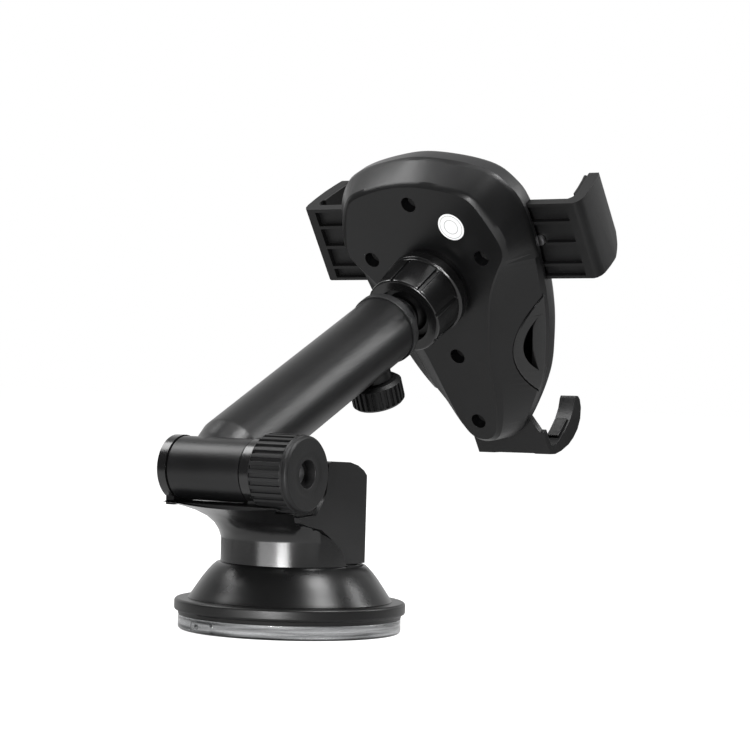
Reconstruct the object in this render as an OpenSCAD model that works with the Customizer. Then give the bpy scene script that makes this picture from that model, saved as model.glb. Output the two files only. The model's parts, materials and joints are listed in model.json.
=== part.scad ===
// Phone holder for a dashboard or windscreen: a suction base with a locking lever,
// a telescopic arm on a horizontal pivot, and a ball-jointed cradle with two sliding
// clamp arms and a sliding foot. Origin at the centre of the suction pad's underside,
// +Z up, the arm leans toward +X, the pivot lies along Y with its knob at the -Y end.

/* [Suction base] */
// Radius of the black rim of the base
rim_r = 36.2; // [34:0.1:38]
// Height of the clear gel pad
pad_h = 4.4; // [3:0.1:5]
// Radius of the clear gel pad
pad_r = 34.9; // [33:0.1:35]
// Height of the top of the rim above the mounting surface
rim_top = 9.6; // [9:0.1:11]
// Radius of the dome where it stands on the rim
dome_foot_r = 32; // [30:0.1:32.4]
// Height of the seam between dome and neck
dome_top = 21.2; // [20.5:0.1:22]
// Radius of the neck
neck_r = 22.1; // [21:0.1:22.4]
// Wall of the dome and the neck
base_wall = 2.4; // [2:0.1:3]

/* [Arm pivot] */
// Distance of the pivot axis behind the centre of the base
pivot_back = 28.2; // [27:0.1:29]
// Height of the pivot axis
pivot_h = 50.5; // [49:0.1:52]
// Radius of the arm's barrel
barrel_r = 9.8; // [9.4:0.1:10.2]
// Outer face of the left ear, as a distance from the middle plane
ear_end = 24.6; // [24:0.1:26]
// Width of the left ear
left_ear_w = 3; // [2.5:0.1:3.5]
// Length of the barrel between the ears
barrel_len = 27.7; // [26:0.1:28.5]
// Width of the ear beside the knob
right_ear_w = 3.7; // [3:0.1:4]
// Length of the pivot knob
knob_len = 14.7; // [13:0.1:16]
// Radius of the pivot knob over its ribs
knob_r = 11.9; // [11.5:0.1:12.3]
// Ribs round the pivot knob
knob_ribs = 30; // [20:1:36]
// Radius of the pivot bolt
bolt_r = 3; // [2.5:0.1:3.5]

/* [Lock lever] */
// Step from the neck's side in to the lever's flat cheeks
cheek_in = 1.9; // [1.5:0.1:2.2]
// Thickness of the lever's walls
lever_wall = 2.2; // [2:0.1:2.6]
// Step from the neck out to the lever's round back
lever_out = 1; // [0.8:0.1:1.6]
// Height of the highest corner of the lever
lever_top = 54.3; // [53:0.1:55]
// Distance of the lever's hinge behind the centre of the base
lever_hinge_back = 12.6; // [12:0.1:13]
// Height of the lever's hinge
lever_hinge_h = 36.6; // [36:0.1:37]

/* [Telescopic arm] */
// Angle of the arm above the horizontal
arm_angle = 24.8; // [23:0.1:60]
// Distance of the arm's plane from the middle plane
arm_y = 11.6; // [10.8:0.1:12]
// Radius of the outer tube
tube_r = 11.6; // [11:0.1:11.8]
// Distance from the pivot axis to the seam of the end collar
tube_len = 106; // [95:0.5:120]
// Length of the end collar
collar_len = 3.6; // [3:0.1:6]
// Step from the outer tube out to the end collar
collar_out = 0.6; // [0.4:0.1:1]
// Radius of the inner rod
rod_r = 8.8; // [8:0.1:9]
// Travel of the inner rod
rod_travel = 62; // [40:1:62]
// Distance of the lock thumbscrew from the end collar
screw_back = 11; // [10:0.5:13]
// Radius of the thumbscrew's head
thumb_r = 8.9; // [8:0.1:9.5]
// Ribs round the thumbscrew's head
thumb_ribs = 26; // [18:1:30]

/* [Ball joint] */
// Distance of the ball's centre in front of the end collar
ball_out = 16.6; // [16.2:0.1:19]
// Radius of the ball
ball_r = 8.4; // [8:0.1:8.6]
// Distance from the ball's centre to the back plane of the cradle
ball_to_back = 15; // [14.5:0.1:16]
// Distance of the locking nut's rear rim behind the ball's centre
nut_behind = 6.8; // [6:0.1:7]
// Radius of the nut's rear rim
nut_rear_r = 13.9; // [13.4:0.1:14.2]
// Radius of the nut's front flange
nut_front_r = 14.9; // [14.5:0.1:15.5]
// Grooves round the locking nut
nut_grooves = 8; // [6:1:10]

/* [Cradle] */
// Angle of the cradle's normal above the horizontal
head_tilt = 31.5; // [25:0.1:35]
// Turn of the cradle about its long middle line
head_yaw = -2.2; // [-4:0.1:4]
// Turn of the cradle about its own normal
head_roll = 2.4; // [0:0.1:4]
// Half the width of the cradle at its widest
cradle_half = 38; // [36:0.1:40]
// Height of the cradle from its top to its lower end
cradle_h = 112.8; // [110:0.1:116]
// Depth of the back cover, from its flat back to the parting line
back_depth = 12; // [11.5:0.1:12.6]
// Depth of the front cover
front_depth = 7.7; // [7.5:0.1:8.4]
// Wall of the two covers
cover_wall = 2; // [1.8:0.1:2]
// Radius of the well round each cover screw
screw_well_r = 2.8; // [2.6:0.1:3]
// Radius of the plain disc on the back cover
disc_r = 5; // [4:0.1:5.5]

/* [Clamp arms] */
// Height of a clamp arm
arm_h = 28.7; // [27:0.1:29]
// Level of the clamp arms' lower edge below the ball axis
arm_low = 5.9; // [5.5:0.1:6.2]
// Reach of a clamp arm's outer end from the middle of the cradle
arm_reach = 57.4; // [54:0.1:60]
// Travel of each clamp arm
arm_travel = 13.5; // [8:0.5:15]
// Thickness of a clamp arm's plate
arm_plate = 3.4; // [3:0.1:3.4]
// Depth of a clamp arm's finger
finger_depth = 23.5; // [20:0.5:25]

/* [Foot] */
// Half the width of the foot
foot_half = 15.2; // [14:0.1:16]
// Width of each of the foot's two hooks
hook_w = 6.6; // [6:0.1:8]
// Level of the foot's underside below the ball axis
foot_low = 81; // [79:0.5:82]
// Depth of the foot's hooks
hook_depth = 26.8; // [24:0.1:28]
// Travel of the foot
foot_travel = 18; // [10:1:18]

/* [Hidden] */
$fn = 48;

// Clearances and small common values
over = 0.5;
run_fit = 0.05;
thin_gap = 0.1;
slide_gap = 0.3;
small_round = 0.6;
mid_round = 1;
wide_round = 1.6;
thin_plate = 2;
pilot_r = 1.5;
fine = 96;
fine_arc = 128;

// Places in the base
rim_in = 1.1;
rim_low = 6;
skirt_floor = 5.4;
skirt_shoulder = 3.6;
stem_r = 4;
stem_disc_r = 12;
stem_low = 7.2;
stem_len = 22;
tab_w = 9.4;
tab_h = 2.9;
tab_out = 1;
tab_low = 0.8;
tab_hole_r = 0.7;
tab_turn = 164.6;
post_ring = 13;
post_r = 3.2;
post_turn = 60;
dome_lip = 0.3;

// Places in the neck
neck_top = 31.6;
shelf_top = 40.1;
shelf_drop = 2;
flare_low = 28.6;
flare_out = 21;
shelf_behind = 8.2;
shelf_side = 9;
ear_rim = 0.3;
ear_web_half = 5;
neck_hollow_r = 16.4;
neck_hollow_h = 14;
hinge_r = 3.4;
pin_r = 1.45;

// Places of the lock lever
cheek_y = neck_r - cheek_in;
lever_r = neck_r + lever_out;
lever_left_x = 2;
lever_front = 6;
lever_short_top = 43.5;
lever_reach = 30;
lever_span = lever_top - dome_top;
pin_skin = 0.8;
lever_lift = 20;

// Places along the pivot, from the left ear to the knob
barrel_left = ear_end - left_ear_w;
barrel_right = barrel_left - barrel_len;
right_ear_end = barrel_right - right_ear_w;
knob_end = right_ear_end - knob_len;
bolt_out = 1.2;
knob_recess_r = 4.3;
knob_recess = 3.5;
knob_cap = 3;
rib_r = 0.9;
washer_h = 0.4;
barrel_gap = 0.6;

// Places along the arm
bore_r = rod_r + 0.9;
bore_from = 22;
collar_r = tube_r + collar_out;
collar_end = tube_len + collar_len;
screw_at = tube_len - screw_back;
thumb_h = 8.4;
thumb_out = 1.8;
boss_r = 6;
boss_out = 1.4;
thread_r = 2.6;
nut_pocket_r = 4.2;
nut_h = 1.8;
shoe_r = 2.4;
bush_len = 7;
rod_keep = 8;
rod_in = screw_at - rod_travel - rod_keep;
rod_out = 3.4;
rod_end = collar_end + rod_out;
rod_wall = 1.8;
rod_plug = 5;
rod_flat = 0.4;
guide_len = 6;
guide_hole_r = 5;
ball_at = collar_end + ball_out;
spigot_r = 4;
stem_wide_r = 7.4;
stem_thin_r = 5.6;

// Places in the ball joint
liner_h = 0.9;
liner_from = 2.4;
seat_low = 3.6;
seat_h = 3.2;
seat_r = ball_r + 1.2;
socket_r = ball_r + 3.2;
socket_foot_r = 13.6;
socket_slot = 1.2;
nut_clear = 3;
nut_mouth_r = 9.9;
nut_groove_r = 1.5;
nut_groove_len = 13.6;
nut_groove_turn = 2.6;

// Places in the cradle, measured from its flat back
front_face = back_depth + front_depth;
plate_back = back_depth + 2;
plate_front = plate_back + arm_plate;
bracket_back = 8.6;
bracket_front = bracket_back + thin_plate;
rack_back = bracket_front + slide_gap;
rack_front = plate_back - slide_gap;
rack_module = 0.9;
rack_w = 4;
pinion_teeth = 10;
pinion_r = rack_module * pinion_teeth / 2;
pinion_y = arm_h / 2 - arm_low;
arm_root = 18;
arm_start = 10;
rack_keep = 12.5;
rack_step = arm_travel + rack_keep - arm_root;
frame_in = 5.1;
pocket_depth = 2;
rivet_x = arm_reach - 20;
rivet_r = 1.15;
rivet_head_r = 1.9;
rivet_room_r = 3;
outline_mid = -13;
pad_h_front = 1.4;
screw_head = 1.4;
screw_at_depth = 4;
screw_boss = 1.4;
driver_slot = 0.7;
disc_h = 0.15;
disc_x = -14.6;
disc_y = 22.2;
side_screw_x = 22.7;
slot_start = 15;

// Release inserts, on the sloping side of the back cover
release_y = -29.5;
release_front = back_depth - 1.5;
release_deep = 6.1;
release_bow = 32.6;
release_thick = 3.2;
release_proud = 0.014;
slot_y = -28.5;
slot_front = 9.2;
slot_deep = 3.2;
slot_bow = 20.5;

// Latch slide
latch_size = 24;

// Foot plate between the covers
foot_back = plate_back;
foot_plate = 2.2;
foot_front = foot_back + foot_plate;
foot_stem = 11;
foot_gap = 1.6;
hook_rise = 12.6;
foot_web_low = foot_low - 3.7;
// Share of the cradle's height that one half width makes up
height_share = 0.3369;
foot_keep = 18.8;
foot_top = (1 - height_share) * cradle_h - foot_travel - foot_keep;
fork_half = screw_well_r + 2.1;
fork_low = 60.4;
hook_pad_in = 1;

// Cover screws, as places on the flat back in shares of the side screws' distance
screw_shares = [[0, 1.366], [1, 0.436], [-1, 0.436], [0, -1.268], [0, -2.436]];
screw_spots = [for (s = screw_shares) s * side_screw_x];

// Right half of the outline of the flat back, from the top middle down,
// in shares of the cradle's half width
back_half_shares = [
    [0, 1.016], [0.24, 0.997], [0.6, 0.908], [0.7, 0.825], [0.785, 0.635], [0.868, 0.4],
    [0.858, 0.27], [0.728, 0.118], [0.6, -0.066], [0.508, -0.265], [0.404, -0.566],
    [0.347, -0.75], [0.304, -0.974], [0.262, -1.224], [0.205, -1.487], [0.126, -1.645],
    [0, -1.68]
];
// Right half of the outline at the parting line, point for point with the flat back
rim_half_shares = [
    [0, 1.142], [0.25, 1.116], [0.545, 1.055], [0.765, 0.972], [0.88, 0.855], [0.985, 0.684],
    [1.005, 0.316], [0.987, 0.08], [0.966, -0.132], [0.94, -0.316], [0.887, -0.553],
    [0.808, -0.79], [0.695, -1.087], [0.566, -1.303], [0.361, -1.58], [0.2, -1.762],
    [0, -1.827]
];
// Corner cutting: each pass puts two points on every edge of a closed outline
function cut_corners(p) = [
    for (i = [0 : len(p) - 1], t = [0.25, 0.75]) p[i] * (1 - t) + p[(i + 1) % len(p)] * t
];
// A half outline and its mirror image as one closed outline
function both_halves(h) = concat(
    h,
    [for (i = [len(h) - 2 : -1 : 1]) [-h[i][0], h[i][1]]]
);
function outline(shares) = cut_corners(cut_corners(both_halves([
    for (s = shares) [s[0] * cradle_half, s[1] * cradle_h * height_share]
])));
function blend(a, b, t) = [for (i = [0 : len(a) - 1]) a[i] * (1 - t) + b[i] * t];
// An outline drawn in by a share of its width and height, about its own middle
function shrink(p, dx, dy) = [
    for (q = p) [q[0] * (1 - dx), outline_mid + (q[1] - outline_mid) * (1 - dy)]
];
// A table of shares set out from a corner with one size across and one along
function set_out(shares, corner, across, along) = [
    for (s = shares) [corner[0] + s[0] * across, corner[1] + s[1] * along]
];

back_outline = outline(back_half_shares);
rim_outline = outline(rim_half_shares);

// Solid through outlines of equal length, each [level, points]
module loft(levels) {
    n = len(levels[0][1]);
    m = len(levels);
    rings = [for (l = levels, q = l[1]) [q[0], q[1], l[0]]];
    middles = [[0, outline_mid, levels[0][0]], [0, outline_mid, levels[m - 1][0]]];
    sides = [
        for (k = [0 : m - 2], i = [0 : n - 1], half = [0, 1])
            half == 0
                ? [k * n + i, k * n + (i + 1) % n, (k + 1) * n + i]
                : [k * n + (i + 1) % n, (k + 1) * n + (i + 1) % n, (k + 1) * n + i]
    ];
    low = [for (i = [0 : n - 1]) [m * n, (i + 1) % n, i]];
    top = [for (i = [0 : n - 1]) [m * n + 1, (m - 1) * n + i, (m - 1) * n + (i + 1) % n]];
    polyhedron(concat(rings, middles), concat(low, sides, top));
}

// Frames: the pivot, the arm along its own axis, and the cradle on its flat back
module at_pivot() {
    translate([-pivot_back, 0, pivot_h]) children();
}
module along_arm(at = 0) {
    translate([-pivot_back, arm_y, pivot_h]) rotate([0, 90 - arm_angle, 0])
        translate([0, 0, at]) children();
}
module at_ball() {
    along_arm(ball_at) rotate([0, arm_angle - head_tilt, 0]) rotate([0, 0, 90])
        rotate([0, head_yaw, 0]) rotate([0, 0, -head_roll]) children();
}
module on_cradle() {
    at_ball() translate([0, 0, ball_to_back]) children();
}
module at_hinge() {
    translate([-lever_hinge_back, 0, lever_hinge_h]) children();
}
// Three places on a ring, for the screws of the dome
module at_posts(level) {
    for (i = [0 : 2]) rotate([0, 0, post_turn + i * 120]) translate([post_ring, 0, level])
        children();
}
// A cylinder along Y from one place to another
module along_y(r, from, to) {
    translate([0, from, 0]) rotate([-90, 0, 0]) cylinder(r = r, h = to - from, $fn = fine);
}
// A flat shape in the XZ plane, given its depth along Y to both sides
module side_block(half) {
    rotate([90, 0, 0]) translate([0, 0, -half]) linear_extrude(2 * half) children();
}
// A flat shape with X up the cradle and Y forward, given its width along the cradle's X
module side_strip(from, width) {
    translate([from, 0, 0]) rotate([90, 0, 90]) linear_extrude(width) children();
}
// Round body with ribs or grooves along its axis
module ribbed(r, h, ribs, groove, chamfer) {
    difference() {
        rotate_extrude($fn = fine) polygon([
            [0, 0], [r - chamfer, 0], [r, chamfer], [r, h - chamfer], [r - chamfer, h], [0, h]
        ]);
        for (i = [0 : ribs - 1]) rotate([0, 0, i * 360 / ribs])
            translate([r + groove * 0.35, 0, -over])
                cylinder(r = groove, h = h + 2 * over, $fn = 16);
    }
}

// Clear gel pad that grips the surface, with a small pull tab at its edge
module gel_pad() {
    color([0.85, 0.87, 0.87, 0.5]) difference() {
        union() {
            rotate_extrude($fn = fine) polygon([
                [0, 0], [pad_r - small_round, 0], [pad_r, small_round], [pad_r, pad_h], [0, pad_h]
            ]);
            rotate([0, 0, tab_turn]) translate([pad_r - tab_h, -tab_w / 2, tab_low])
                cube([tab_h + tab_out, tab_w, tab_h]);
        }
        rotate([0, 0, tab_turn]) translate([pad_r, -tab_w / 5, tab_low + tab_h / 2])
            rotate([0, 90, 0]) cylinder(r = tab_hole_r, h = tab_out + over);
    }
}

// Black flexible disc with its thick rim
module suction_skirt() {
    step_r = rim_r - rim_in;
    color([0.08, 0.08, 0.08]) rotate_extrude($fn = fine) polygon([
        [0, pad_h], [step_r - slide_gap, pad_h], [step_r, rim_low - slide_gap],
        [rim_r - slide_gap, rim_low], [rim_r, rim_low + slide_gap], [rim_r, rim_top - small_round],
        [rim_r - small_round, rim_top], [dome_foot_r - skirt_shoulder, rim_top],
        [dome_foot_r - 2 * skirt_shoulder, skirt_floor], [0, skirt_floor]
    ]);
}

// Domed cover over the suction disc; the table gives its profile from seam to rim
dome_shares = [
    [0, 1], [0.1, 0.975], [0.22, 0.89], [0.38, 0.745], [0.55, 0.56], [0.7, 0.375],
    [0.83, 0.21], [0.93, 0.09], [1, 0]
];
module base_dome() {
    rise = dome_top - rim_top;
    run = dome_foot_r - neck_r - dome_lip;
    outer = set_out(dome_shares, [neck_r + dome_lip, rim_top], run, rise);
    inner = set_out(dome_shares, [neck_r - base_wall, rim_top], run, rise - base_wall);
    back = [for (i = [len(inner) - 1 : -1 : 0]) inner[i]];
    color([0.1, 0.1, 0.1]) difference() {
        rotate_extrude($fn = fine) polygon(concat(
            [[stem_r + slide_gap, dome_top - base_wall], [stem_r + slide_gap, dome_top]],
            outer, back
        ));
        at_posts(dome_top - base_wall - over)
            cylinder(r = pilot_r + slide_gap, h = base_wall + 2 * over);
    }
}

// Three screws that hold the dome to the neck from below
module dome_screws() {
    color("silver") at_posts(dome_top - base_wall) {
        translate([0, 0, -nut_h]) cylinder(r = 2 * pilot_r, h = nut_h);
        cylinder(r = pilot_r, h = base_wall + rod_plug);
    }
}

// Body of the lever between its flat cheeks and its round back, drawn in by a gap
module lever_core(gap) {
    half = cheek_y - lever_wall - gap;
    intersection() {
        translate([0, 0, dome_top - over])
            cylinder(r = lever_r - lever_wall - gap, h = 2 * lever_span, $fn = fine);
        translate([-lever_reach, -half, dome_top - over])
            cube([2 * lever_reach, 2 * half, 2 * lever_span]);
    }
}
// Room that the lock lever takes beside the neck, from rest to fully lifted
module lever_room() {
    half = cheek_y - lever_wall - slide_gap;
    difference() {
        side_block(2 * cheek_y) offset(delta = slide_gap) for (a = [0, 0.5, 1])
            translate([-lever_hinge_back, lever_hinge_h]) rotate(a * lever_lift)
                translate([lever_hinge_back, -lever_hinge_h]) lever_side();
        lever_core(slide_gap);
        translate([-2 * lever_reach, -half, 0])
            cube([2 * lever_reach, 2 * half, 2 * lever_top]);
        translate([-2 * lever_reach, 0, 0])
            cube([2 * lever_reach + lever_left_x - slide_gap, 2 * lever_reach, 2 * lever_top]);
    }
}

// Neck with the saddle under the barrel and the two ears of the pivot
flare_shares = [
    [0, 0], [0.035, 0.2], [0.105, 0.4], [0.22, 0.58], [0.4, 0.74], [0.6, 0.855], [0.8, 0.94],
    [1, 1]
];
module neck_housing() {
    half = cheek_y - lever_wall - slide_gap;
    saddle_x = pivot_back + shelf_behind;
    saddle_right = right_ear_end - shelf_side;
    flare = set_out(flare_shares, [neck_r, flare_low], flare_out, shelf_top - flare_low);
    color([0.09, 0.09, 0.09]) difference() {
        union() {
            difference() {
                union() {
                    translate([0, 0, dome_top])
                        cylinder(r = neck_r, h = neck_top - dome_top, $fn = fine);
                    intersection() {
                        lever_core(slide_gap);
                        translate([0, 0, dome_top])
                            cylinder(r = neck_r, h = shelf_top - dome_top - shelf_drop);
                    }
                    // flare from the round neck out to the shelf under the barrel
                    intersection() {
                        rotate_extrude($fn = fine) polygon(concat(
                            [[0, dome_top], [neck_r, dome_top]], flare, [[0, shelf_top]]
                        ));
                        translate([-saddle_x, saddle_right, dome_top]) cube([
                            saddle_x - shelf_behind, ear_end - saddle_right, lever_span
                        ]);
                    }
                }
                lever_room();
                at_pivot() along_y(knob_r + small_round, knob_end - over, right_ear_end);
            }
            // ears, each a round plate on a web that rises from the shelf
            at_pivot() along_y(barrel_r + ear_rim, barrel_left, ear_end);
            at_pivot() along_y(barrel_r + ear_rim, right_ear_end, barrel_right);
            ear_web(barrel_left, left_ear_w);
            ear_web(right_ear_end, right_ear_w);
            // boss of the lever's hinge
            at_hinge() along_y(hinge_r, -half, half);
        }
        at_pivot() along_y(bolt_r + run_fit, right_ear_end - over, ear_end + over);
        // hollow of the neck, with the stem's guide and the screw posts left standing
        difference() {
            translate([0, 0, dome_top - over])
                cylinder(r = neck_hollow_r, h = neck_hollow_h, $fn = fine);
            translate([0, 0, dome_top - over])
                cylinder(r = stem_r + thin_plate, h = neck_hollow_h + over);
            at_posts(dome_top - over) cylinder(r = post_r, h = neck_hollow_h + over);
        }
        translate([0, 0, dome_top - over]) cylinder(r = stem_r + slide_gap, h = neck_hollow_h);
        at_posts(dome_top - over) cylinder(r = pilot_r, h = neck_hollow_h / 2);
        at_hinge() along_y(pilot_r, -half - over, half + over);
    }
}
module ear_web(from, width) {
    translate([-pivot_back - ear_web_half, from, shelf_top - mid_round])
        cube([2 * ear_web_half, width, pivot_h - shelf_top + mid_round]);
}

// Disc and stem that pull the membrane up when the lever is down
module suction_stem() {
    color("dimgray") {
        translate([0, 0, stem_low]) cylinder(r = stem_disc_r, h = thin_plate);
        translate([0, 0, stem_low + thin_plate - over]) cylinder(r = stem_r, h = stem_len);
    }
}

// Steel pin of the lock lever
module lever_pin() {
    color("silver") at_hinge()
        along_y(pin_r, pin_skin - cheek_y, cheek_y - lever_wall - mid_round);
}

// Side view of the lock lever, X across and Z up
lever_shares = [
    [-0.345, 0.964], [-0.3, 1], [0.066, 0.972], [0.26, 0.94], [0.41, 0.89], [0.54, 0.81],
    [0.72, 0.66], [0.88, 0.47], [0.985, 0.29], [1.02, 0.17], [1.02, 0.015], [-0.078, 0.015],
    [-0.18, 0.11], [-0.354, 0.207], [-0.59, 0.302], [-0.883, 0.386], [-1.08, 0.428],
    [-1.11, 0.476], [-0.735, 0.488], [-0.476, 0.578], [-0.39, 0.68]
];
module lever_side() {
    polygon(set_out(lever_shares, [0, dome_top], lever_r, lever_span));
}

// Lock lever: a long flat cheek, a short one and the round back between them
module lock_lever() {
    inner = cheek_y - lever_wall;
    color([0.1, 0.1, 0.1]) difference() {
        intersection() {
            side_block(cheek_y) lever_side();
            union() {
                translate([0, 0, dome_top]) cylinder(r = lever_r, h = 2 * lever_span, $fn = fine);
                translate([-lever_reach, -cheek_y, dome_top])
                    cube([lever_reach + lever_front, 2 * cheek_y, 2 * lever_span]);
            }
        }
        // the channel that clears the neck
        lever_core(0);
        translate([-lever_reach - over, -inner, dome_top - over])
            cube([lever_reach + over + lever_front, 2 * inner, 2 * lever_span]);
        // the side beside the arm is cut short and low
        translate([-lever_reach, 0, dome_top - over])
            cube([lever_reach + lever_left_x, lever_reach, 2 * lever_span]);
        translate([-lever_reach, -pilot_r, lever_short_top])
            cube([2 * lever_reach, 2 * lever_reach, lever_span]);
        at_hinge() along_y(pilot_r, pin_skin - thin_gap - cheek_y, 0);
    }
}

// Bolt through the ears, the barrel and the knob
module pivot_bolt() {
    color("silver") at_pivot() along_y(bolt_r, knob_end + knob_recess, ear_end + bolt_out);
}

// Low pointed nut that closes the bolt at the left ear
cap_shares = [[0, 0], [1.46, 0], [1.46, 0.27], [1, 0.53], [0.4, 0.93], [0, 1]];
module bolt_nut() {
    color([0.12, 0.12, 0.12]) at_pivot() difference() {
        translate([0, ear_end, 0]) rotate([-90, 0, 0]) rotate_extrude()
            polygon(set_out(cap_shares, [0, 0], bolt_r, bolt_r));
        along_y(bolt_r, ear_end - over, ear_end + bolt_out);
    }
}

// Knurled knob that tightens the pivot
cap_edge_shares = [[0, 0], [0.984, 0], [0.968, 0.44], [0.93, 0.75], [0.86, 1], [0, 1]];
module pivot_knob() {
    grip = knob_len - knob_cap + mid_round - slide_gap;
    color([0.1, 0.1, 0.1]) at_pivot() difference() {
        translate([0, right_ear_end - slide_gap, 0]) rotate([90, 0, 0]) {
            ribbed(knob_r, grip, knob_ribs, rib_r, small_round);
            translate([0, 0, knob_len - knob_cap]) rotate_extrude($fn = fine)
                polygon(set_out(cap_edge_shares, [0, 0], knob_r, knob_cap - slide_gap));
        }
        along_y(knob_recess_r, knob_end - over, knob_end + knob_recess);
        along_y(bolt_r, knob_end + knob_recess - over, right_ear_end + over);
    }
}

// Thin friction washers at both ends of the barrel
module barrel_washers() {
    color("darkgray") at_pivot()
        for (y = [barrel_left - thin_gap - washer_h, barrel_right + thin_gap]) difference() {
            along_y(barrel_r - wide_round, y, y + washer_h);
            along_y(bolt_r + run_fit, y - over, y + washer_h + over);
        }
}

// Outer tube, one moulding with the barrel and the boss of the thumbscrew
saddle_shares = [[0, 0], [1, 0], [1, 0.32], [1.03, 0.53], [1.1, 0.8]];
module outer_tube() {
    saddle = set_out(saddle_shares, [0, 0], barrel_r, barrel_r);
    color([0.1, 0.1, 0.1]) difference() {
        union() {
            at_pivot() along_y(barrel_r, barrel_right + barrel_gap, barrel_left - barrel_gap);
            along_arm() rotate_extrude($fn = fine) polygon(concat(
                saddle, [[tube_r, tube_r], [tube_r, tube_len], [0, tube_len]]
            ));
            along_arm(screw_at) rotate([0, 90, 0]) cylinder(r = boss_r, h = tube_r + boss_out);
        }
        // room for the left ear beside the tube
        at_pivot() along_y(barrel_r + wide_round, barrel_left - barrel_gap, ear_end + over);
        at_pivot() along_y(bolt_r + run_fit, barrel_right, barrel_left);
        along_arm(bore_from) cylinder(r = bore_r, h = tube_len, $fn = fine);
        along_arm(screw_at) rotate([0, 90, 0])
            cylinder(r = thread_r, h = tube_r + 2 * boss_out);
        along_arm(screw_at) translate([tube_r - small_round, 0, 0]) rotate([0, 90, 0])
            cylinder(r = nut_pocket_r, h = nut_h + slide_gap);
    }
}

// Stepped collar that closes the outer tube
module end_collar() {
    edge = collar_len / 4;
    color([0.12, 0.12, 0.12]) along_arm(tube_len) difference() {
        rotate_extrude($fn = fine) polygon([
            [0, 0], [collar_r, 0], [collar_r, collar_len - edge], [collar_r - edge, collar_len],
            [0, collar_len]
        ]);
        translate([0, 0, -over])
            cylinder(r = rod_r + slide_gap, h = collar_len + 2 * over, $fn = fine);
    }
}

// Split bush that guides the rod at the tube's mouth
module rod_bush() {
    color("gray") along_arm(tube_len - bush_len) difference() {
        cylinder(r = bore_r - run_fit, h = bush_len, $fn = fine);
        translate([0, 0, -over])
            cylinder(r = rod_r + thin_gap, h = bush_len + 2 * over, $fn = fine);
    }
}

// Six-sided nut pressed into the boss
module clamp_nut() {
    color("silver") along_arm(screw_at) translate([tube_r - over, 0, 0]) rotate([0, 90, 0])
        difference() {
            cylinder(r = nut_pocket_r - thin_gap, h = nut_h, $fn = 6);
            translate([0, 0, -over]) cylinder(r = thread_r - run_fit, h = nut_h + 2 * over);
        }
}

// Thumbscrew that locks the telescope
module lock_thumbscrew() {
    tip = bore_r + mid_round;
    color([0.11, 0.11, 0.11]) along_arm(screw_at) rotate([0, 90, 0]) {
        translate([0, 0, tip])
            cylinder(r = thread_r - thin_gap, h = tube_r + thumb_out - tip + thin_gap);
        translate([0, 0, tube_r + thumb_out])
            ribbed(thumb_r, thumb_h, thumb_ribs, rib_r, mid_round);
    }
}

// Small shoe between the thumbscrew and the rod
module brake_shoe() {
    color("dimgray") along_arm(screw_at) translate([rod_r + thin_gap, 0, 0]) rotate([0, 90, 0])
        cylinder(r = shoe_r, h = bore_r - rod_r + small_round);
}

// Rod that slides out of the tube
module inner_rod() {
    len = rod_end - rod_in;
    color([0.14, 0.14, 0.14]) along_arm(rod_in) difference() {
        cylinder(r = rod_r, h = len, $fn = fine);
        translate([0, 0, -over])
            cylinder(r = rod_r - rod_wall, h = len - rod_plug - small_round, $fn = fine);
        translate([0, 0, len - rod_plug]) cylinder(r = spigot_r, h = rod_plug + over);
        // flat on which the brake shoe bears
        translate([rod_r - rod_flat, -2 * pilot_r, guide_len + thin_plate])
            cube([rod_wall, 4 * pilot_r, len - guide_len - 2 * thin_plate]);
    }
}

// Guide ring on the rod's inner end
module rod_guide() {
    color("gray") along_arm(rod_in - thin_plate) difference() {
        cylinder(r = bore_r - thin_gap, h = guide_len, $fn = fine);
        translate([0, 0, thin_plate]) cylinder(r = rod_r + run_fit, h = guide_len, $fn = fine);
        translate([0, 0, -over]) cylinder(r = guide_hole_r, h = guide_len + 2 * over);
    }
}

// Ball on its tapered stem
module ball_stem() {
    taper = ball_out - rod_out - ball_r / 2;
    color([0.1, 0.1, 0.1]) {
        along_arm(ball_at) sphere(r = ball_r, $fn = fine);
        along_arm(rod_end) cylinder(r1 = stem_wide_r, r2 = stem_thin_r, h = taper, $fn = fine);
        along_arm(rod_end - rod_plug) cylinder(r = spigot_r - run_fit, h = rod_plug + over);
    }
}

// Thin liner on the front of the ball
module ball_liner() {
    color("gray") at_ball() difference() {
        sphere(r = ball_r + liner_h, $fn = fine);
        sphere(r = ball_r + run_fit, $fn = fine);
        translate([-2 * ball_r, -2 * ball_r, liner_from - 4 * ball_r]) cube(4 * ball_r);
    }
}

// Ring that presses the ball from behind
module seat_ring() {
    color("darkgray") at_ball() difference() {
        translate([0, 0, -seat_low]) cylinder(r = seat_r, h = seat_h, $fn = fine);
        sphere(r = ball_r + run_fit, $fn = fine);
    }
}

// Socket that stands out of the back cover round the ball
module socket_cup() {
    color([0.1, 0.1, 0.1]) at_ball() difference() {
        union() {
            translate([0, 0, -thin_gap])
                cylinder(r = socket_r, h = ball_to_back - thin_plate + slide_gap, $fn = fine);
            translate([0, 0, ball_to_back - thin_plate])
                cylinder(r = socket_foot_r, h = thin_plate, $fn = fine);
        }
        sphere(r = seat_r, $fn = fine);
        translate([0, 0, -mid_round])
            cylinder(r = seat_r, h = liner_from + mid_round + thin_gap, $fn = fine);
        for (i = [0 : 3]) rotate([0, 0, 45 + i * 90]) translate([0, -socket_slot / 2, -mid_round])
            cube([2 * socket_r, socket_slot, ball_r]);
    }
}

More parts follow.
